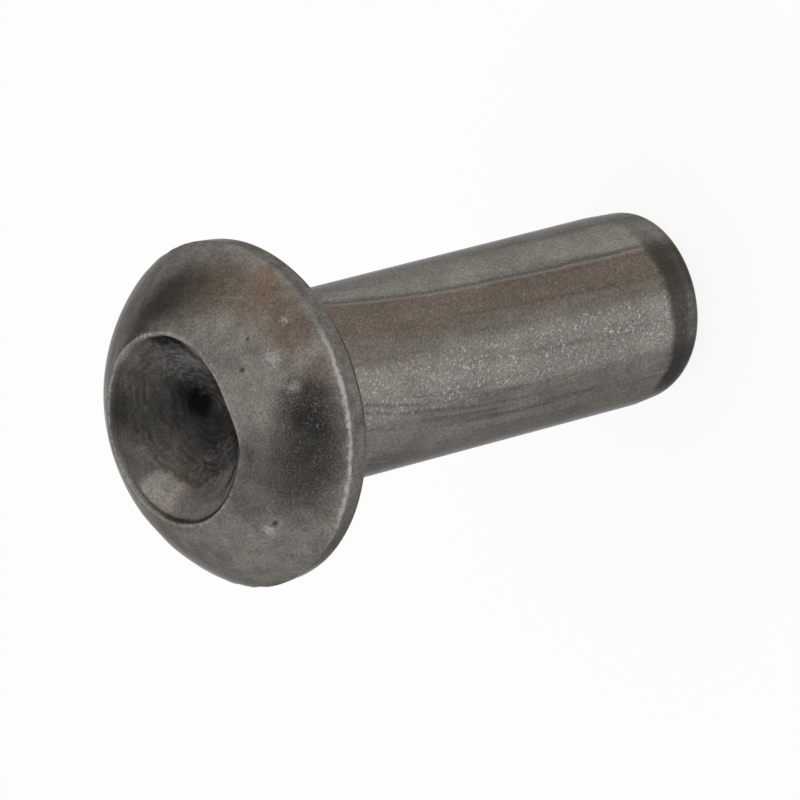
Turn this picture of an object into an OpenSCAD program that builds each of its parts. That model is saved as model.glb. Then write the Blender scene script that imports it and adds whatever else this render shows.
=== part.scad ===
// Solid round-head rivet with a dished head, in millimetres.
// The axis is Z with the head up. The origin is the centre of the bearing face under the head.

/* [Shank] */
// Diameter of the shank
shank_d = 8; // [7:0.1:9.5]
// Length of the shank from the bearing face to the tail end
shank_l = 22; // [12:0.5:40]
// Radius of the fillet between the shank and the head
neck_r = 0.4; // [0.1:0.05:0.8]

/* [Tail] */
// Length of the tapered lead-in, measured from the tail end
lead_l = 2.3; // [1.8:0.1:4]
// Taper of the lead-in from the axis, in degrees
lead_a = 5; // [3:1:12]
// Radius of the corner at the tail end
tail_r = 1.3; // [0.4:0.1:1.6]

/* [Head] */
// Diameter of the head
head_d = 14.2; // [13.8:0.1:17]
// Height of the crown above the bearing face, as if the dish were filled
crown_h = 5.3; // [5.25:0.05:6.5]
// Height of the straight rim below the dome
rim_h = 1.15; // [0.9:0.05:1.6]
// Radius of the rim's lower edge
rim_r = 0.5; // [0.1:0.05:0.8]

/* [Dish] */
// Height of the lip around the dish above the bearing face
lip_h = 4.3; // [3.8:0.05:4.35]
// Diameter of the dish at the lip
mouth_d = 7.6; // [6:0.1:7.8]
// Depth of the dish below the lip
dish_h = 2.75; // [1.6:0.05:3.2]
// Radius of the dish's rounded bottom
bottom_r = 2.85; // [1:0.05:3]

/* [Hidden] */
$fn = 128;
steel = [0.37, 0.36, 0.34];

// Slight angle at which a round crosses the slope beside it
blend_a = 6;

shank_r = shank_d / 2;
head_r = head_d / 2;
mouth_r = mouth_d / 2;

// Dome: a ball through the crown and the rim's upper edge
dome_rise = crown_h - rim_h;
dome_r = (head_r * head_r + dome_rise * dome_rise) / (2 * dome_rise);

// Lead-in and the corner round that runs from it into the end face
lead_y = lead_l - shank_l;
tail_y = tail_r - shank_l;
corner_a = lead_a + blend_a;
corner_y = tail_y - tail_r * sin(corner_a);
tail_x = shank_r - (lead_y - corner_y) * tan(lead_a) - tail_r * cos(corner_a);

// Dish: a sloping wall from the mouth to the ball that rounds the bottom
ball_y = lip_h - dish_h + bottom_r;
ball_gap = bottom_r * cos(blend_a);
mouth_y = lip_h - ball_y;
wall_a = acos(ball_gap / norm([mouth_r, mouth_y])) - atan2(mouth_y, mouth_r);
wall_y = ball_y - ball_gap * sin(wall_a);
dish_top = crown_h + dome_rise;
dish_r = mouth_r + (dish_top - lip_h) * tan(wall_a);

module tail_section() {
    intersection() {
        polygon([
            [0, -shank_l],
            [shank_r - lead_l * tan(lead_a), -shank_l],
            [shank_r, lead_y],
            [0, lead_y]
        ]);
        union() {
            translate([0, -shank_l]) square([tail_x, lead_l]);
            translate([tail_x, tail_y]) circle(tail_r);
            translate([0, tail_y]) square([shank_r, lead_y - tail_y]);
        }
    }
}

module shank_section() {
    translate([0, lead_y]) square([shank_r, -neck_r - lead_y]);
}

module neck_section() {
    difference() {
        translate([0, -neck_r]) square([shank_r + neck_r, neck_r + rim_r]);
        translate([shank_r + neck_r, -neck_r]) circle(neck_r);
    }
}

module head_section() {
    intersection() {
        translate([0, crown_h - dome_r]) circle(dome_r);
        union() {
            square([head_r - rim_r, lip_h]);
            translate([head_r - rim_r, rim_r]) circle(rim_r);
            translate([0, rim_r]) square([head_r, lip_h - rim_r]);
        }
    }
}

module dish_section() {
    intersection() {
        polygon([[0, lip_h - mouth_r / tan(wall_a)], [dish_r, dish_top], [0, dish_top]]);
        union() {
            translate([0, ball_y]) circle(bottom_r);
            translate([0, wall_y]) square([dish_r, dish_top - wall_y]);
        }
    }
}

module rivet() {
    color(steel) rotate_extrude() difference() {
        union() {
            tail_section();
            shank_section();
            neck_section();
            head_section();
        }
        dish_section();
    }
}

rivet();
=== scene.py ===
import math

import bpy
from mathutils import Matrix, Vector, noise


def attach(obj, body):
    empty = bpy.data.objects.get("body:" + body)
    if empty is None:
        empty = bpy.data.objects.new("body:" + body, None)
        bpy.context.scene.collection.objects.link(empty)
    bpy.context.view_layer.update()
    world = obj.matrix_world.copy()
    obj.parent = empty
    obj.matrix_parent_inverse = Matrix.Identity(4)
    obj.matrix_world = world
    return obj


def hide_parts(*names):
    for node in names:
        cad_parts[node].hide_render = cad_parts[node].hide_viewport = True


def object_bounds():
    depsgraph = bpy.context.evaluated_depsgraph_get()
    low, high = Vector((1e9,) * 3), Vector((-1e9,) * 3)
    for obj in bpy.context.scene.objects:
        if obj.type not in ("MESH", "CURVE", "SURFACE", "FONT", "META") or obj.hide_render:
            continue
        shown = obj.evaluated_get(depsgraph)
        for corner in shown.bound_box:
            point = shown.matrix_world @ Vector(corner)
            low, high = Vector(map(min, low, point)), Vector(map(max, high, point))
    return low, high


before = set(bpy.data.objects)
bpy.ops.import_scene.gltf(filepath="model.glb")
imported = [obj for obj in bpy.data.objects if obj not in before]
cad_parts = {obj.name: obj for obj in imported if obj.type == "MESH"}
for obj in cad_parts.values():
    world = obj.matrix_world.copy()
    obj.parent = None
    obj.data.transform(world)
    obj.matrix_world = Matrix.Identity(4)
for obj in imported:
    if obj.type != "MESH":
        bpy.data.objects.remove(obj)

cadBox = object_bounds()
mm = 0.001
scene = bpy.context.scene

# millimetres and degrees, heights measured from the bearing face, azimuth 0 faces the photograph's camera
rivetForm = {
    "shankRadius": 4.0,
    "shankLength": 22.0,
    "neckRound": 0.4,
    "leadLength": 2.3,
    "leadAngle": 5.0,
    "tailRound": 1.45,
    "headRadius": 7.1,
    "crownHeight": 5.3,
    "rimHeight": 1.15,
    "rimDraft": 0.06,  # how far the rim draws in towards its lower edge
    "rimRound": 0.5,
    "shoulderReach": 0.14,  # how far wear has rounded the shoulder
    "shoulderSteps": 6,
    "lipHeight": 4.3,
    "lipReach": 0.09,
    "lipSteps": 8,
    "mouthRadius": 3.86,
    "dishDepth": 2.75,
    "bottomRound": 2.85,
    "turns": 400,
    "headStep": 0.085,  # point spacing on the head
    "tailStep": 0.14,
    "shankStep": 0.36,
}


def arcPoints(centre, radius, start, end, step):
    sweep = math.radians(end - start)
    count = max(3, round(abs(sweep) * radius / step))
    angles = [math.radians(start) + sweep * i / count for i in range(count + 1)]
    return [(centre[0] + radius * math.cos(a), centre[1] + radius * math.sin(a)) for a in angles]


def between(a, b, share):
    return (a[0] + (b[0] - a[0]) * share, a[1] + (b[1] - a[1]) * share)


def linePoints(a, b, step):
    count = max(1, round(math.dist(a, b) / step))
    return [between(a, b, i / count) for i in range(count + 1)]


def towards(a, b, reach):
    return between(a, b, reach / math.dist(a, b))


def bendPoints(a, b, c, d, count):
    # a worn edge: a smooth bend from a to d that leans on b and c
    points = []
    for i in range(count + 1):
        t = i / count
        ab, bc, cd = between(a, b, t), between(b, c, t), between(c, d, t)
        points.append(between(between(ab, bc, t), between(bc, cd, t), t))
    return points


def halfSection(form):
    fine, shank, head = form["headStep"], form["shankRadius"], form["headRadius"]
    rise = form["crownHeight"] - form["rimHeight"]
    domeRadius = (head ** 2 + rise ** 2) / (2 * rise)
    domeZ = form["crownHeight"] - domeRadius
    lead = math.radians(form["leadAngle"])
    tailRound, tailZ = form["tailRound"], form["tailRound"] - form["shankLength"]
    leadZ = form["leadLength"] - form["shankLength"]
    cornerZ = tailZ - tailRound * math.sin(lead)
    tailX = shank - (leadZ - cornerZ) * math.tan(lead) - tailRound * math.cos(lead)
    ballRound = form["bottomRound"]
    ballZ = form["lipHeight"] - form["dishDepth"] + ballRound
    mouth = (form["mouthRadius"], form["lipHeight"])
    mouthRise = mouth[1] - ballZ
    wall = math.acos(ballRound / math.hypot(mouth[0], mouthRise)) - math.atan2(mouthRise, mouth[0])
    wallFoot = (ballRound * math.cos(wall), ballZ - ballRound * math.sin(wall))
    lip = (math.sqrt(domeRadius ** 2 - (form["lipHeight"] - domeZ) ** 2), form["lipHeight"])
    shoulder = (head, form["rimHeight"])
    rimRound, neck = form["rimRound"], form["neckRound"]
    rimFoot = (head - form["rimDraft"], rimRound)

    # the dome stops short of both its edges by as much as they are worn
    domeStart = math.atan2(shoulder[1] - domeZ, shoulder[0]) + form["shoulderReach"] / domeRadius
    domeEnd = math.atan2(lip[1] - domeZ, lip[0]) - form["lipReach"] / domeRadius
    dome = arcPoints((0, domeZ), domeRadius, math.degrees(domeStart), math.degrees(domeEnd), fine)
    rimTop = towards(shoulder, rimFoot, form["shoulderReach"])
    wallTop = towards(mouth, wallFoot, form["lipReach"])

    stretches = [
        linePoints((0, -form["shankLength"]), (tailX, -form["shankLength"]), form["shankStep"]),
        arcPoints((tailX, tailZ), tailRound, -90, -form["leadAngle"], form["tailStep"]),
        linePoints((tailX + tailRound * math.cos(lead), cornerZ), (shank, leadZ), form["tailStep"]),
        linePoints((shank, leadZ), (shank, -neck), form["shankStep"]),
        arcPoints((shank + neck, -neck), neck, 180, 90, fine),
        linePoints((shank + neck, 0), (rimFoot[0] - rimRound, 0), form["shankStep"]),
        arcPoints((rimFoot[0] - rimRound, rimRound), rimRound, -90, 0, fine),
        linePoints(rimFoot, rimTop, fine),
        bendPoints(rimTop, shoulder, shoulder, dome[0], form["shoulderSteps"]),
        dome,
        bendPoints(dome[-1], lip, mouth, wallTop, form["lipSteps"]),
        linePoints(wallTop, wallFoot, fine),
        arcPoints((0, ballZ), ballRound, -math.degrees(wall), -90, fine),
    ]
    points = [stretches[0][0]]
    for stretch in stretches:
        points += stretch[1:]
    return points


# what years of bins and handling have done to the forging
wearForm = {
    "headWave": 0.016,
    "headWavesPerMm": 0.36,
    "headRipple": 0.005,
    "headRipplesPerMm": 1.1,
    "shankWave": 0.008,
    "shankWavesPerMm": 0.3,
    "shankStretch": 0.25,  # the shank's waves are drawn out along it
    "dents": [
        # azimuth, radius, height, width, depth
        (17.0, 5.82, 2.86, 0.34, 0.025),
        (4.9, 6.01, 2.65, 0.26, 0.018),
        (28.0, 6.51, 2.06, 0.22, 0.04),
        (23.5, 6.45, 2.12, 0.6, 0.05),
        (-55.8, 5.63, 3.04, 0.2, 0.06),
        (-61.6, 5.61, 3.06, 0.4, 0.04),
        (19.4, 4.77, 3.76, 0.14, 0.03),
        (30.2, 5.42, 3.23, 0.12, 0.02),
        (-140.0, 5.9, 2.77, 0.5, 0.05),
        (160.0, 6.5, 2.07, 0.3, 0.04),
        (105.0, 6.1, 2.55, 0.25, 0.03),
    ],
    "lipShifts": [
        # azimuth, spread, how far the mouth's edge is pushed out
        (9.0, 15.0, -0.2),
        (34.0, 14.0, -0.1),
        (-24.0, 14.0, 0.12),
        (120.0, 12.0, 0.1),
        (-145.0, 30.0, 0.05),
        (172.0, 32.0, 0.09),
    ],
    "lipWidth": 0.55,  # how far from the edge a shift of the lip is felt
    "headShift": -0.174,  # the head was upset a little off the shank's axis, along X
    "squareCorner": (80.0, 60.0, 0.62),  # the tail corner is less rounded here: azimuth, spread, amount
    "lipJitter": 0.03,
    "lipJittersPerMm": 1.3,
    "shoulderJitter": 0.035,
    "shoulderJittersPerMm": 1.9,
    "shoulderWidth": 0.2,
    "shoulderBias": 0.3,  # raises the share of the shoulder that is worn
    "bellReach": 3,  # a bell is not worth reckoning past this many widths
}


def roundTheAxis(azimuth, radius, height):
    a = math.radians(azimuth)
    return Vector((radius * math.sin(a), -radius * math.cos(a), height))


def bell(distance, width):
    return math.exp(-(distance / width) ** 2)


def angleGap(a, b):
    return (a - b + 180) % 360 - 180


def unitShare(value):
    return min(1, max(0, value))


def wornPoint(form, wear, azimuth, radius, height, outward):
    # one point of the turned form, pushed along its normal and at the lip also sideways
    place = roundTheAxis(azimuth, radius, height)
    onHead = unitShare(height / form["rimRound"])
    push = onHead * wear["headWave"] * noise.noise(place * wear["headWavesPerMm"])
    push += onHead * wear["headRipple"] * noise.noise(place * wear["headRipplesPerMm"])
    clear = unitShare((height + form["shankLength"]) / form["tailRound"] - 1)
    drawn = Vector((place.x, place.y, place.z * wear["shankStretch"]))
    push += (1 - onHead) * clear * wear["shankWave"] * noise.noise(drawn * wear["shankWavesPerMm"])
    if onHead:
        for dentAzimuth, dentRadius, dentHeight, width, depth in wear["dents"]:
            distance = (place - roundTheAxis(dentAzimuth, dentRadius, dentHeight)).length
            if distance < wear["bellReach"] * width:
                push -= depth * bell(distance, width)
        toShoulder = math.hypot(radius - form["headRadius"], height - form["rimHeight"])
        worn = max(0, noise.noise(place * wear["shoulderJittersPerMm"]) + wear["shoulderBias"])
        push -= wear["shoulderJitter"] * bell(toShoulder, wear["shoulderWidth"]) * worn
    toLip = math.hypot(radius - form["mouthRadius"], height - form["lipHeight"])
    shift = 0.0
    if toLip < wear["bellReach"] * wear["lipWidth"]:
        for shiftAzimuth, spread, reach in wear["lipShifts"]:
            shift += reach * bell(angleGap(azimuth, shiftAzimuth), spread)
        shift += wear["lipJitter"] * noise.noise(place * wear["lipJittersPerMm"])
        shift *= bell(toLip, wear["lipWidth"])
    # the tail corner fills out on one side, and the head stands off the shank's axis
    cornerAzimuth, spread, fill = wear["squareCorner"]
    fill *= bell(angleGap(azimuth, cornerAzimuth), spread)
    leadTop = form["leadLength"] - form["shankLength"]
    down = unitShare((leadTop - height) / (form["leadLength"] - form["tailRound"]))
    wide = min(1, radius / (form["shankRadius"] - form["tailRound"])) if down else 0
    radius += outward[0] * push + shift + fill * wide * (1 - outward[0])
    height += outward[1] * push - fill * down * (1 + outward[1])
    ease = unitShare(1 + place.z / form["neckRound"])
    return roundTheAxis(azimuth, radius, height) + Vector((wear["headShift"] * ease, 0, 0))


def turnedMesh(name, form, wear):
    # the first and last points of the half section lie on the axis and close the ends
    points = halfSection(form)
    turns, rings = form["turns"], points[1:-1]
    verts = [wornPoint(form, wear, 0, *points[0], (0, -1)) * mm]
    for i, (radius, height) in enumerate(rings):
        along = (points[i + 2][0] - points[i][0], points[i + 2][1] - points[i][1])
        span = math.hypot(*along)
        outward = (along[1] / span, -along[0] / span)
        for k in range(turns):
            verts.append(wornPoint(form, wear, 360 * k / turns, radius, height, outward) * mm)
    verts.append(wornPoint(form, wear, 0, *points[-1], (0, 1)) * mm)
    last, top = len(verts) - 1, 1 + (len(rings) - 1) * turns
    faces = []
    for k in range(turns):
        n = (k + 1) % turns
        faces.append((0, 1 + n, 1 + k))
        for low in range(1, top, turns):
            faces.append((low + k, low + n, low + turns + n, low + turns + k))
        faces.append((top + k, top + n, last))
    mesh = bpy.data.meshes.new(name)
    mesh.from_pydata(verts, [], faces)
    mesh.update()
    mesh.polygons.foreach_set("use_smooth", [True] * len(mesh.polygons))
    piece = bpy.data.objects.new(name, mesh)
    scene.collection.objects.link(piece)
    return piece


class ShaderBench:
    # short calls for the nodes that the finishes are wired from
    def __init__(self, tree):
        self.nodes, self.links = tree.nodes, tree.links

    def put(self, socket, value):
        if isinstance(value, bpy.types.NodeSocket):
            self.links.new(value, socket)
        else:
            socket.default_value = value

    def math(self, operation, a, b=0.0, clamp=False):
        node = self.nodes.new("ShaderNodeMath")
        node.operation, node.use_clamp = operation, clamp
        self.put(node.inputs[0], a)
        self.put(node.inputs[1], b)
        return node.outputs[0]

    def vector(self, operation, a, b=None, scale=None):
        node = self.nodes.new("ShaderNodeVectorMath")
        node.operation = operation
        self.put(node.inputs[0], a)
        if b is not None:
            self.put(node.inputs[1], b)
        if scale is not None:
            self.put(node.inputs["Scale"], scale)
        single = operation in ("LENGTH", "DOT_PRODUCT", "DISTANCE")
        return node.outputs["Value" if single else "Vector"]

    def ramp(self, value, low, high, toLow=0.0, toHigh=1.0):
        node = self.nodes.new("ShaderNodeMapRange")
        node.interpolation_type = "SMOOTHSTEP"
        self.put(node.inputs["Value"], value)
        node.inputs["From Min"].default_value, node.inputs["From Max"].default_value = low, high
        node.inputs["To Min"].default_value, node.inputs["To Max"].default_value = toLow, toHigh
        return node.outputs["Result"]

    def noise(self, place, scale, detail, roughness):
        node = self.nodes.new("ShaderNodeTexNoise")
        self.put(node.inputs["Vector"], place)
        node.inputs["Scale"].default_value = scale
        node.inputs["Detail"].default_value = detail
        node.inputs["Roughness"].default_value = roughness
        return node.outputs[0]

    def part(self, vector, axis):
        node = self.nodes.new("ShaderNodeSeparateXYZ")
        self.put(node.inputs[0], vector)
        return node.outputs[axis]

    def join(self, x, y, z):
        node = self.nodes.new("ShaderNodeCombineXYZ")
        for socket, value in zip(node.inputs, (x, y, z)):
            self.put(socket, value)
        return node.outputs[0]

    def mix(self, factor, a, b, blend="MIX"):
        node = self.nodes.new("ShaderNodeMix")
        node.data_type, node.blend_type = "RGBA", blend
        self.put(node.inputs[0], factor)
        self.put(node.inputs[6], a)
        self.put(node.inputs[7], b)
        return node.outputs[2]

    def tinted(self, colour, tone):
        return self.mix(1.0, colour, tone, "MULTIPLY")

    def less(self, mask):
        return self.math("SUBTRACT", 1, mask)

    def plus(self, a, b):
        return self.math("ADD", a, b)

    def times(self, *masks):
        product = masks[0]
        for mask in masks[1:]:
            product = self.math("MULTIPLY", product, mask)
        return product

    def most(self, masks):
        best = masks[0]
        for mask in masks[1:]:
            best = self.math("MAXIMUM", best, mask)
        return best


# noises are given as repeats per mm, detail and roughness; ranges as from low, from high, to low, to high
steelLook = {
    "colour": (0.175, 0.163, 0.147, 1),
    "paleColour": (0.46, 0.45, 0.43, 1),  # bare metal on worn edges, nicks and flecks, also the painted glints and the shoulder's painted highlight
    "scaleAndShadeColour": (0.03, 0.029, 0.027, 1),  # dark forging scale, also the colour of the painted shade
    "rustColour": (0.138, 0.102, 0.077, 1),  # thin brown film
    "edgeTint": (0.45, 0.45, 0.45, 1),  # keeps the turned-away edges from going white
    "roughness": 0.22,
    "headStart": (-0.25, 0.05),  # heights between which the shank's finish gives way to the head's
    "grainNoise": (11.0, 3, 0.7),
    "grainRange": (0.25, 0.75, 0.64, 1.36),
    "grainHeight": 0.006,
    "mottleNoise": (1.3, 4, 0.6),
    "mottleRange": (0.3, 0.7, -0.18, 0.18),
    "mottleOnShank": 0.4,
    "cloudNoise": (0.45, 2, 0.6),
    "cloudRange": (0.3, 0.7, 0.9, 1.1),
    "spotNoise": (5.0, 4, 0.7),  # roughens the outline of stains and pits
    "nickNoise": (9.0, 4, 0.7),
    "spotRange": (0.25, 0.75, -1.0, 1.0),
}


class RivetSkin:
    # where a point of the skin lies on the rivet, wired once for all masks
    def __init__(self, bench, look, headShift):
        self.bench, self.look = bench, look
        place = bench.nodes.new("ShaderNodeTexCoord").outputs["Object"]
        place = bench.vector("SCALE", place, scale=1 / mm)
        across, deep, self.height = (bench.part(place, axis) for axis in "XYZ")
        self.onHead = bench.ramp(self.height, *look["headStart"])
        self.onShank = bench.less(self.onHead)
        across = bench.math("SUBTRACT", across, bench.times(self.onHead, headShift))
        self.place = bench.join(across, deep, self.height)
        self.flat = bench.join(across, deep, 0.0)
        self.radius = bench.vector("LENGTH", self.flat)
        self.section = bench.join(self.radius, self.height, 0.0)
        self.angle = bench.math("ARCTAN2", across, bench.math("MULTIPLY", deep, -1))
        self.grain = bench.noise(self.place, *look["grainNoise"])
        self.mottle = bench.noise(self.place, *look["mottleNoise"])

    def spots(self, spots, ragged, softness, noiseName="spotNoise"):
        bench = self.bench
        rough = bench.ramp(bench.noise(self.place, *self.look[noiseName]), *self.look["spotRange"])
        masks = []
        for azimuth, radius, height, reach in spots:
            away = bench.vector("DISTANCE", self.place, roundTheAxis(azimuth, radius, height))
            away = bench.plus(away, bench.math("MULTIPLY", rough, ragged * reach))
            masks.append(bench.ramp(away, reach * (1 + softness), reach * (1 - softness)))
        return bench.most(masks)

    def facing(self, azimuth):
        # 1 where the skin faces this azimuth, -1 on the other side
        return self.bench.math("COSINE", self.bench.math("SUBTRACT", self.angle, math.radians(azimuth)))


shankLook = {
    "twist": 34.0,  # how far the drawing lines lean over near the head
    "twistReach": 5.0,
    "lineStretch": 0.05,
    "streakNoise": (1.5, 4, 0.7),
    "streakRange": (0.5, 0.66),
    "streakAmount": 0.25,
    "seamAngle": 34.0,
    "seamNoise": (0.6, 3, 0.6),
    "seamWander": (0.3, 0.7, -0.03, 0.03),
    "seamEnd": (-20.2, -19.2),
    "seamWidth": (0.11, 0.03),
    "seamBreakNoise": (0.45, 3, 0.6),
    "seamBreaks": (0.35, 0.65, 0.1, 1.0),
    "seamAmount": 0.3,
    "seamDepth": 0.005,
    "ridgeOff": 0.16,  # the pale ridge beside the seam
    "ridgeWidth": (0.1, 0.03),
    "ridgeAmount": 0.16,
    "ridgeHeight": 0.005,
    "shadeStreaks": [(-39.0, 0.6), (-49.0, 0.45)],  # painted dark reflection streaks: azimuth and half width in mm
    "shadeStreakCore": 0.2,
    "shadeStreakNoise": (2.2, 4, 0.6),
    "shadeStreakBreaks": (0.38, 0.6, 0.15, 1.0),
    "shadeStreakAmount": 0.5,
    "rustEdge": 8.5,  # azimuth where the brown film starts; it ends at the seam
    "rustNoise": (1.1, 4, 0.6),
    "rustWander": (0.3, 0.7, -0.9, 0.9),
    "rustFade": (-1.3, 1.0),
    "rustStop": (0.15, -0.35),
    "rustPatchNoise": (0.7, 3, 0.6),
    "rustPatches": (0.35, 0.62, 0.78, 1.0),
    "rustMottle": (0.3, 0.65, 0.7, 1.0),
    "rustAmount": 0.9,
    "litSideFromSeam": (-0.1, 0.4),  # painted light: the side past the seam painted paler, fading round the back
    "litSideFade": (165.0, 95.0),
    "litSideTone": (0, 1, 1.0, 1.33),
    "tailTone": (-3.0, -16.0, 1.02, 0.98),  # a little darker towards the tail
    "tailNoise": (1.2, 3, 0.6),
    "tailWander": (0.3, 0.7, -0.1, 0.1),
    "tailStart": (-19.45, -19.9),  # painted shade round the tail
    "tailCorner": (-21.0, -20.4, 0.66, 1.0),
    "tailCleanSide": 90.0,
    "tailClean": (0.35, 0.8, 1.0, 0.3),
    "tailAmount": 0.78,
}


def shankMasks(bench, skin, look, radius):
    # drawing lines along the shank lean over near the head
    twist = bench.math("EXPONENT", bench.math("DIVIDE", skin.height, look["twistReach"]))
    drawn = bench.math("SUBTRACT", skin.angle, bench.math("MULTIPLY", twist, math.radians(look["twist"])))
    lines = bench.join(
        bench.math("MULTIPLY", bench.math("SINE", drawn), radius),
        bench.math("MULTIPLY", bench.math("COSINE", drawn), radius),
        bench.math("MULTIPLY", skin.height, look["lineStretch"]),
    )

    def sideways(angle, azimuth):
        # distance in mm round the shank from an azimuth
        return bench.math("MULTIPLY", bench.math("SUBTRACT", angle, math.radians(azimuth)), radius)

    streaks = bench.ramp(bench.noise(lines, *look["streakNoise"]), *look["streakRange"])
    seamOff = bench.ramp(bench.noise(skin.place, *look["seamNoise"]), *look["seamWander"])
    seamOff = bench.plus(sideways(drawn, look["seamAngle"]), seamOff)
    seamReach = bench.times(skin.onShank, bench.ramp(skin.height, *look["seamEnd"]))
    seam = bench.times(seamReach, bench.ramp(bench.math("ABSOLUTE", seamOff), *look["seamWidth"]))
    breaks = bench.ramp(bench.noise(skin.place, *look["seamBreakNoise"]), *look["seamBreaks"])
    seam = bench.times(seam, breaks)
    ridge = bench.math("ABSOLUTE", bench.plus(seamOff, look["ridgeOff"]))
    ridge = bench.times(seamReach, bench.ramp(ridge, *look["ridgeWidth"]))
    # painted dark reflection streaks along the drawing lines, broken up
    shadeStreaks = []
    for azimuth, half in look["shadeStreaks"]:
        off = bench.math("ABSOLUTE", sideways(drawn, azimuth))
        shadeStreaks.append(bench.ramp(off, half, half * look["shadeStreakCore"]))
    breaks = bench.ramp(bench.noise(lines, *look["shadeStreakNoise"]), *look["shadeStreakBreaks"])
    shadeStreaks = bench.times(skin.onShank, bench.most(shadeStreaks), breaks)

    # brown film between a soft edge and the seam
    rustOff = bench.ramp(bench.noise(lines, *look["rustNoise"]), *look["rustWander"])
    rustOff = bench.plus(sideways(skin.angle, look["rustEdge"]), rustOff)
    rust = bench.times(
        skin.onShank,
        bench.ramp(rustOff, *look["rustFade"]),
        bench.ramp(seamOff, *look["rustStop"]),
        bench.ramp(bench.noise(lines, *look["rustPatchNoise"]), *look["rustPatches"]),
        bench.ramp(skin.mottle, *look["rustMottle"]),
        look["rustAmount"],
    )
    # painted light: the upper side of the shank painted paler, fading round the back
    fade = bench.ramp(skin.angle, *(math.radians(a) for a in look["litSideFade"]))
    litSide = bench.times(skin.onShank, bench.ramp(seamOff, *look["litSideFromSeam"]), fade)
    tone = bench.times(bench.ramp(litSide, *look["litSideTone"]), bench.ramp(skin.height, *look["tailTone"]))
    tailOff = bench.ramp(bench.noise(skin.place, *look["tailNoise"]), *look["tailWander"])
    tailOff = bench.plus(skin.height, tailOff)
    # painted shade round the tail's rounded end, lighter on one side
    tail = bench.times(
        bench.ramp(tailOff, *look["tailStart"]),
        bench.ramp(tailOff, *look["tailCorner"]),
        bench.ramp(skin.facing(look["tailCleanSide"]), *look["tailClean"]),
    )
    return {
        "streaks": bench.times(skin.onShank, streaks), "seam": seam, "ridge": ridge, "shadeStreaks": shadeStreaks,
        "rust": rust, "tone": tone, "tail": tail,
    }


# pale flecks, coarse on the shank and fine on the head: bare metal where the scale has come off, and
# painted glints gathered in the shank's painted highlight band and two spots on the dome
fleckLook = {
    # two spots on the dome where the painted glints gather
    "spots": [
        # azimuth, radius, height, reach
        (-10.0, 6.2, 2.4, 1.5),
        (-30.0, 6.3, 2.3, 1.6),
    ],
    "spotRagged": 0.25,
    "spotSoftness": 0.5,
    "highlightBand": (-14.0, 23.0),  # azimuth of the shank's painted highlight band, paler and thick with painted glints, and its half width
    "highlightBandCore": 0.4,
    "highlightBandTone": (0, 1, 0.98, 1.3),
    "elsewhere": 0.15,
    "coarseNoise": (6.8, 3, 0.8),
    "coarseRange": (0.515, 0.62),
    "fineNoise": (13.0, 2, 0.75),
    "fineRange": (0.56, 0.72),
    "clumpNoise": (1.7, 2, 0.6),
    "clumpRange": (0.36, 0.6, 0.25, 1.0),
    "headAmount": (0, 1, 1.0, 0.42),
    "headRelief": (0, 1, 1.0, 0.27),
    "height": 0.012,
}


def fleckMasks(bench, skin, look, inDish):
    # the shank's painted highlight band
    azimuth, half = look["highlightBand"]
    highlightBand = bench.math("ABSOLUTE", bench.math("SUBTRACT", skin.angle, math.radians(azimuth)))
    highlightBand = bench.ramp(highlightBand, math.radians(half), math.radians(half * look["highlightBandCore"]))
    highlightBand = bench.times(skin.onShank, highlightBand)
    spots = skin.spots(look["spots"], look["spotRagged"], look["spotSoftness"])
    zone = bench.times(bench.most([highlightBand, spots, look["elsewhere"]]), bench.less(inDish))
    coarse = bench.ramp(bench.noise(skin.place, *look["coarseNoise"]), *look["coarseRange"])
    fine = bench.ramp(bench.noise(skin.place, *look["fineNoise"]), *look["fineRange"])
    speck = bench.plus(bench.times(coarse, skin.onShank), bench.times(fine, skin.onHead))
    clumps = bench.ramp(bench.noise(skin.place, *look["clumpNoise"]), *look["clumpRange"])
    flecksAndGlints = bench.times(zone, speck, clumps)
    return {
        "tone": bench.ramp(highlightBand, *look["highlightBandTone"]),
        "flecksAndGlints": bench.times(flecksAndGlints, bench.ramp(skin.onHead, *look["headAmount"])),
        "relief": bench.times(flecksAndGlints, bench.ramp(skin.onHead, *look["headRelief"]), look["height"]),
    }


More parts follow.
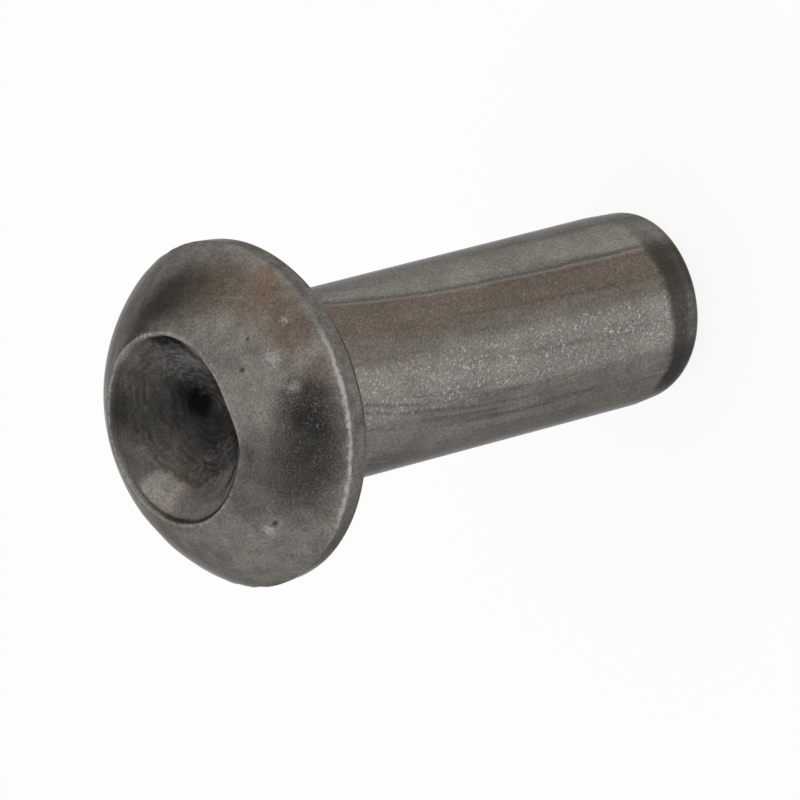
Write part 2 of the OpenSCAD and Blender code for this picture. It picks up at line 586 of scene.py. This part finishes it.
headLook = {
    "nicks": [
        # azimuth, radius, height, reach
        (17.5, 5.75, 2.92, 0.24),
        (4.6, 6.0, 2.66, 0.22),
        (28.0, 6.5, 2.07, 0.12),
        (-60.5, 5.55, 3.11, 0.2),
        (101.0, 3.98, 4.26, 0.08),
        (97.0, 3.98, 4.26, 0.1),
        (93.0, 3.97, 4.27, 0.1),
        (89.0, 3.97, 4.27, 0.08),
    ],
    "nickRagged": 1.3,
    "nickSoftness": 0.9,
    "nickAmount": 0.5,
    "pits": [
        (-55.8, 5.63, 3.04, 0.13),
        (19.4, 4.77, 3.76, 0.1),
        (30.2, 5.42, 3.23, 0.07),
    ],
    "pitRagged": 0.3,
    "pitSoftness": 0.35,
    "pitAmount": 0.75,
    "rustSpots": [
        # brown patches inside the shoulder
        (24.0, 6.6, 1.95, 0.8),
        (6.0, 6.72, 1.78, 0.6),
        (42.0, 6.65, 1.88, 0.8),
    ],
    "rustRagged": 0.6,
    "rustSoftness": 0.95,
    "rustAmount": 0.5,
    "darkSpots": [
        # dark patches on the dome beside the dish
        (-34.0, 4.75, 3.77, 1.3),
        (-50.0, 4.4, 4.01, 1.0),
    ],
    "darkRagged": 0.3,
    "darkSoftness": 0.8,
    "darkeningAmount": 0.45,
    "chipNoise": (3.0, 5, 0.75),
    "chipRange": (0.3, 0.7, -0.09, 0.09),
    "shoulderWidth": (0.17, 0.0),
    "shoulderHighlightSide": -18.0,  # azimuth where the worn shoulder's painted highlight is brightest
    "shoulderHighlightFade": (0.7, 0.985, 0.06, 1.0),
    "shoulderAmount": 0.8,
    "lipOff": 0.1,
    "lipWidth": (0.09, 0.0, 0.0, 0.35),
    "lipAmount": 0.6,
    "creaseShade": (3.74, 4.17, 0),  # radius and height of the painted shade in the crease inside the lip
    "creaseShadeWidth": (0.11, 0.03),
    "creaseShadeSide": -75.0,
    "creaseShadeFade": (-0.3, 0.5),
    "creaseShadeAmount": 0.45,
    # painted shade: the rim below the shoulder darkened in patches
    "rimShadeFade": 0.25,
    "rimShadeNoise": (1.6, 4, 0.6),
    "rimShadeRange": (0.3, 0.7, 0.05, 0.35),
}


def headMasks(bench, skin, look, form):
    chips = bench.ramp(bench.noise(skin.place, *look["chipNoise"]), *look["chipRange"])
    shoulder = bench.vector("DISTANCE", skin.section, (form["headRadius"], form["rimHeight"], 0))
    shoulder = bench.ramp(bench.plus(shoulder, chips), *look["shoulderWidth"])
    # the worn shoulder carries a painted highlight, fading away from one side
    shoulder = bench.times(shoulder, bench.ramp(skin.facing(look["shoulderHighlightSide"]), *look["shoulderHighlightFade"]))
    lipTop = (form["mouthRadius"] + look["lipOff"], form["lipHeight"], 0)
    lip = bench.plus(bench.vector("DISTANCE", skin.section, lipTop), chips)
    lip = bench.ramp(lip, *look["lipWidth"])
    # painted shade in the crease inside the lip, on one side
    creaseShade = bench.ramp(bench.vector("DISTANCE", skin.section, look["creaseShade"]), *look["creaseShadeWidth"])
    creaseShade = bench.times(creaseShade, bench.ramp(skin.facing(look["creaseShadeSide"]), *look["creaseShadeFade"]))
    pits = skin.spots(look["pits"], look["pitRagged"], look["pitSoftness"])
    nicks = skin.spots(look["nicks"], look["nickRagged"], look["nickSoftness"], "nickNoise")
    rust = skin.spots(look["rustSpots"], look["rustRagged"], look["rustSoftness"])
    darkening = skin.spots(look["darkSpots"], look["darkRagged"], look["darkSoftness"])
    # painted shade on the rim below the shoulder
    rim = bench.ramp(skin.height, form["rimHeight"], form["rimHeight"] - look["rimShadeFade"])
    rimShadeTone = bench.ramp(bench.noise(skin.place, *look["rimShadeNoise"]), *look["rimShadeRange"])
    return {
        # bare metal at nicks, lip and shoulder, the shoulder's line also a painted highlight
        "bareAndHighlight": bench.most([
            bench.times(nicks, look["nickAmount"]),
            bench.times(shoulder, look["shoulderAmount"]),
            bench.times(lip, look["lipAmount"]),
        ]),
        # dark pits, and the painted shade in the crease inside the lip
        "pits": bench.most([
            bench.times(pits, look["pitAmount"]),
            bench.times(creaseShade, look["creaseShadeAmount"]),
        ]),
        "rust": bench.times(rust, look["rustAmount"]),
        "darkening": bench.times(darkening, look["darkeningAmount"]),
        "rim": bench.times(skin.onHead, rim, rimShadeTone),
    }


dishLook = {
    "inside": (3.9, 3.7),  # radii between which the dish's finish starts
    "above": (0.5, 1.0),
    "wanderNoise": (0.7, 3, 0.6),
    "wanderRange": (0.25, 0.75, -0.2, 0.2),
    "scaleAndShadeCentre": (0.55, 0.35, 0),  # the dark bottom, dark scale and painted shade of the deep recess, sits a little off the axis
    "scaleAndShadeEdge": (3.12, 2.72),
    "scaleAndShadeAmount": 0.56,
    "scaleRoughness": 0.42,
    "swirlsPerMm": 22.0,  # turning marks round the bottom, in radians
    "swirlNoise": (1.6, 3, 0.6),
    "swirlRange": (0.4, 0.6),
    "swirlTone": (-1, 1, 0.74, 1.26),
    "swirlHeight": 0.0016,
    # painted shade: near-black spots in the deep bottom of the dish
    "bottomShadeColour": (0.003, 0.003, 0.003, 1),
    "bottomShadeSpots": [
        # place, reach, amount
        ((0.85, 0.95, 1.9), 1.85, 0.97),
        ((-0.3, 0.75, 1.75), 2.1, 0.78),
        ((-0.5, -0.9, 1.8), 1.9, 0.4),
    ],
    "bottomShadeCore": 0.15,
    "darkeningAmount": 0.6,
    "paleWallColour": (0.31, 0.298, 0.284, 1),
    "litPatchFrom": (-155.7, -141.4),  # azimuths of the painted light patch on the dish wall, which is also rougher
    "litPatchTo": (-58.5, -81.5),
    "litPatchBelow": (3.8, 3.62),
    "litPatchWander": 0.25,
    "litPatchAmount": 0.9,
    "litPatchRoughness": 0.5,
    "nearSide": -20.0,  # the wall just inside the lip is rubbed paler and rougher on this side, the paleness partly painted light
    "nearFade": (-0.1, 0.35),
    "nearRim": (2.7, 3.3),
    "wallSpots": [
        # azimuth, radius, height, reach: paler patches on the wall, partly painted light
        (-76.0, 2.6, 2.95, 1.35),
        (76.0, 2.6, 2.95, 1.2),
    ],
    "wallRagged": 0.4,
    "wallSoftness": 0.8,
    "rubbedAndLitAmount": 0.8,
    "rubbedAndLitRoughness": 0.6,
}


def dishMasks(bench, skin, look):
    inside = bench.times(bench.ramp(skin.height, *look["above"]), bench.ramp(skin.radius, *look["inside"]))
    wander = bench.ramp(bench.noise(skin.place, *look["wanderNoise"]), *look["wanderRange"])
    off = bench.plus(bench.vector("DISTANCE", skin.flat, look["scaleAndShadeCentre"]), wander)
    # dark scale in the dish bottom, also painted shade of the deep recess
    scale = bench.times(inside, bench.ramp(off, *look["scaleAndShadeEdge"]))
    broken = bench.ramp(bench.noise(skin.place, *look["swirlNoise"]), *look["swirlRange"])
    swirl = bench.times(bench.math("SINE", bench.math("MULTIPLY", off, look["swirlsPerMm"])), broken, scale)
    # painted shade in the deep bottom of the dish
    bottomShade = []
    for spot, reach, amount in look["bottomShadeSpots"]:
        away = bench.plus(bench.vector("DISTANCE", skin.place, spot), wander)
        bottomShade.append(bench.ramp(away, reach, reach * look["bottomShadeCore"], 0.0, amount))
    # painted light: a paler patch where light falls on the dish wall
    litPatchOff = bench.plus(skin.angle, bench.times(wander, look["litPatchWander"]))
    litPatch = bench.times(
        bench.ramp(litPatchOff, *(math.radians(a) for a in look["litPatchFrom"])),
        bench.ramp(litPatchOff, *(math.radians(a) for a in look["litPatchTo"])),
        bench.ramp(skin.radius, *look["litPatchBelow"]),
        inside,
        bench.less(scale),
    )
    # rubbed paler wall, partly painted light, on one side
    nearWall = bench.ramp(skin.facing(look["nearSide"]), *look["nearFade"])
    nearWall = bench.times(bench.ramp(skin.radius, *look["nearRim"]), nearWall)
    wallSpots = skin.spots(look["wallSpots"], look["wallRagged"], look["wallSoftness"])
    return {
        "inside": inside, "scale": scale, "swirl": swirl, "litPatch": litPatch,
        "rubbedAndLit": bench.times(inside, bench.most([nearWall, wallSpots])),
        "bottomShade": bench.times(inside, bench.most(bottomShade)),
        # painted shade: the dish wall darkened outside the lit patch and the scale
        "darkening": bench.times(inside, bench.less(litPatch), bench.less(scale)),
    }


def steelMaterial(look, form, headShift):
    material = bpy.data.materials.new("darkSteel")
    material.use_nodes = True
    bench = ShaderBench(material.node_tree)
    shader = bench.nodes["Principled BSDF"]
    skin = RivetSkin(bench, look, headShift)
    dish = dishMasks(bench, skin, dishLook)
    head = headMasks(bench, skin, headLook, form)
    shank = shankMasks(bench, skin, shankLook, form["shankRadius"])
    fleck = fleckMasks(bench, skin, fleckLook, dish["inside"])

    mottle = bench.ramp(skin.onHead, 0, 1, look["mottleOnShank"], 1.0)
    mottle = bench.times(mottle, bench.ramp(skin.mottle, *look["mottleRange"]))
    tone = bench.times(
        bench.ramp(skin.grain, *look["grainRange"]),
        bench.plus(mottle, 1),
        bench.ramp(bench.noise(skin.place, *look["cloudNoise"]), *look["cloudRange"]),
        bench.ramp(dish["swirl"], *dishLook["swirlTone"]),
        # painted highlight band on the shank
        fleck["tone"],
        # painted paler upper side of the shank, and a little darker towards the tail
        shank["tone"],
    )
    colour = bench.tinted(look["colour"], tone)

    def cover(mask, amount, over):
        return bench.mix(bench.times(mask, amount), colour, over)

    dark, pale = look["scaleAndShadeColour"], look["paleColour"]
    rust = bench.math("MAXIMUM", shank["rust"], head["rust"])
    colour = bench.mix(rust, colour, bench.tinted(look["rustColour"], tone))
    colour = cover(shank["streaks"], shankLook["streakAmount"], dark)
    # painted shade on the dish wall
    colour = cover(dish["darkening"], dishLook["darkeningAmount"], dark)
    paleDishColour = bench.tinted(dishLook["paleWallColour"], tone)
    # painted light patch on the dish wall
    colour = cover(dish["litPatch"], dishLook["litPatchAmount"], paleDishColour)
    # dark scale and painted shade in the dish bottom
    colour = cover(dish["scale"], dishLook["scaleAndShadeAmount"], dark)
    # painted shade in the deep bottom of the dish
    colour = bench.mix(dish["bottomShade"], colour, dishLook["bottomShadeColour"])
    # rubbed paler wall, partly painted light
    colour = cover(dish["rubbedAndLit"], dishLook["rubbedAndLitAmount"], paleDishColour)
    colour = bench.mix(head["darkening"], colour, dark)
    # the dark seam, and the painted dark reflection streaks
    seamAndShadeStreaks = bench.times(shank["shadeStreaks"], shankLook["shadeStreakAmount"])
    seamAndShadeStreaks = bench.math("MAXIMUM", bench.times(shank["seam"], shankLook["seamAmount"]), seamAndShadeStreaks)
    colour = bench.mix(seamAndShadeStreaks, colour, dark)
    colour = cover(shank["ridge"], shankLook["ridgeAmount"], pale)
    # pale flecks: bare metal and painted glints
    colour = bench.mix(fleck["flecksAndGlints"], colour, pale)
    # painted shade round the tail
    colour = cover(shank["tail"], shankLook["tailAmount"], dark)
    # dark pits, and the painted shade in the crease inside the lip
    colour = bench.mix(head["pits"], colour, dark)
    # bare metal, and the shoulder's painted highlight
    colour = bench.mix(head["bareAndHighlight"], colour, pale)
    # painted shade on the rim
    colour = bench.mix(head["rim"], colour, dark)
    bench.put(shader.inputs["Base Color"], colour)
    shader.inputs["Metallic"].default_value = 1
    shader.inputs["Specular Tint"].default_value = look["edgeTint"]
    rough = bench.ramp(dish["scale"], 0, 1, look["roughness"], dishLook["scaleRoughness"])
    # the painted light patch is also rougher
    litPatchRough = bench.times(dish["litPatch"], dishLook["litPatchRoughness"])
    rubbedAndLitRough = bench.times(dish["rubbedAndLit"], dishLook["rubbedAndLitRoughness"])
    bench.put(shader.inputs["Roughness"], bench.most([rough, litPatchRough, rubbedAndLitRough]))

    relief = bench.plus(bench.math("MULTIPLY", skin.grain, look["grainHeight"]), fleck["relief"])
    relief = bench.plus(relief, bench.times(shank["ridge"], shankLook["ridgeHeight"]))
    relief = bench.plus(relief, bench.times(dish["swirl"], dishLook["swirlHeight"]))
    relief = bench.math("SUBTRACT", relief, bench.times(shank["seam"], shankLook["seamDepth"]))
    bump = bench.nodes.new("ShaderNodeBump")
    bump.inputs["Distance"].default_value = mm
    bench.put(bump.inputs["Height"], relief)
    bench.put(shader.inputs["Normal"], bump.outputs["Normal"])
    return material


rivet = turnedMesh("rivet_turned", rivetForm, wearForm)
rivet.data.materials.append(steelMaterial(steelLook, rivetForm, wearForm["headShift"]))
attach(rivet, "root")
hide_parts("rivet")
print("rivet turned:", len(rivet.data.polygons), "faces")

floorLook = {
    "colour": (0.95, 0.95, 0.95, 1),
    "halfWidth": 2.0,
    "whiteShare": 0.9,  # the rest is the lit floor with the rivet's shadow
}


def paleFloor(look, height):
    half = look["halfWidth"]
    mesh = bpy.data.meshes.new("floor")
    corners = [(-half, -half, height), (half, -half, height), (half, half, height), (-half, half, height)]
    mesh.from_pydata(corners, [], [(0, 1, 2, 3)])
    floor = bpy.data.objects.new("floor", mesh)
    scene.collection.objects.link(floor)
    material = bpy.data.materials.new("paleFloor")
    material.use_nodes = True
    bench = ShaderBench(material.node_tree)
    shader = bench.nodes["Principled BSDF"]
    shader.inputs["Base Color"].default_value = look["colour"]
    shader.inputs["Roughness"].default_value = 1
    shader.inputs["Specular IOR Level"].default_value = 0
    rays = bench.nodes.new("ShaderNodeLightPath")
    seen = bench.math("ADD", rays.outputs["Is Camera Ray"], rays.outputs["Is Glossy Ray"])
    seen = bench.math("ADD", seen, rays.outputs["Is Transmission Ray"], clamp=True)
    white = bench.nodes.new("ShaderNodeEmission")
    blend = bench.nodes.new("ShaderNodeMixShader")
    bench.put(blend.inputs[0], bench.math("MULTIPLY", seen, look["whiteShare"]))
    bench.put(blend.inputs[1], shader.outputs[0])
    bench.put(blend.inputs[2], white.outputs[0])
    bench.put(bench.nodes["Material Output"].inputs["Surface"], blend.outputs[0])
    mesh.materials.append(material)


paleFloor(floorLook, cadBox[0].z)

# the studio is a white tent with darker and warmer openings; directions in degrees
tentLook = {
    "level": 1.0,
    "zones": [
        # azimuth, height, half angle, softness, colour
        (-80, 32, 14, 9, (0.56, 0.56, 0.55, 1)),
        (-55, 36, 17, 9, (0.27, 0.27, 0.26, 1)),
        (-30, 39, 18, 6, (0.17, 0.17, 0.17, 1)),
        (-8, 39, 15, 5, (0.12, 0.12, 0.12, 1)),
        (40, 28, 10, 6, (0.93, 0.84, 0.76, 1)),
        (58, 24, 13, 5, (0.9, 0.78, 0.68, 1)),
        (82, 20, 17, 4, (0.96, 0.84, 0.73, 1)),
        (108, 20, 14, 5, (0.54, 0.45, 0.38, 1)),
        (124, 17, 13, 6, (0.32, 0.29, 0.26, 1)),
        (138, 10, 12, 6, (0.22, 0.21, 0.2, 1)),
        (150, 4, 9, 6, (0.22, 0.21, 0.2, 1)),
    ],
}


def tentDirection(azimuth, height):
    return roundTheAxis(azimuth, math.cos(math.radians(height)), math.sin(math.radians(height)))


def lightTent(look):
    world = bpy.data.worlds.new("lightTent")
    world.use_nodes = True
    scene.world = world
    bench = ShaderBench(world.node_tree)
    background = bench.nodes["Background"]
    background.inputs["Strength"].default_value = look["level"]
    direction = bench.nodes.new("ShaderNodeTexCoord").outputs["Generated"]
    colour = (1, 1, 1, 1)
    for azimuth, height, half, soft, tone in look["zones"]:
        nearness = bench.vector("DOT_PRODUCT", direction, tentDirection(azimuth, height))
        outer = math.cos(math.radians(half + soft))
        inner = math.cos(math.radians(max(half - soft, 0)))
        colour = bench.mix(bench.ramp(nearness, outer, inner), colour, tone)
    bench.put(background.inputs["Color"], colour)


lightTent(tentLook)
print("floor and light tent set")

# the photograph's view: tilt of the axis from the sight line, roll,
# and where the bearing face's centre falls, in pixels from the middle
viewLook = {
    "tilt": 49.56,
    "roll": -14.766,
    "distance": 397.68,
    "offsetRight": -148.21,
    "offsetDown": 4.62,
    "focalPixels": 9900,
    "imagePixels": 800,
    "sensor": 36.0,
    "clip": (0.01, 10),
}


def photoCamera(look):
    lift = math.radians(90 - look["tilt"])
    level = Vector((1, 0, 0))
    rise = Vector((0, math.sin(lift), math.cos(lift)))
    back = Vector((0, -math.cos(lift), math.sin(lift)))
    turn = math.radians(look["roll"] - 90)
    right = math.cos(turn) * level + math.sin(turn) * rise
    up = -math.sin(turn) * level + math.cos(turn) * rise
    perPixel = look["distance"] / look["focalPixels"]
    seen = perPixel * (look["offsetRight"] * right - look["offsetDown"] * up) - look["distance"] * back
    data = bpy.data.cameras.new("photoCamera")
    data.sensor_width = look["sensor"]
    data.lens = look["focalPixels"] / look["imagePixels"] * look["sensor"]
    data.clip_start, data.clip_end = look["clip"]
    camera = bpy.data.objects.new("photoCamera", data)
    camera.matrix_world = Matrix.Translation(-seen * mm) @ Matrix((right, up, back)).transposed().to_4x4()
    scene.collection.objects.link(camera)
    scene.camera = camera


photoCamera(viewLook)
scene.view_settings.view_transform = "Standard"
print("camera set")
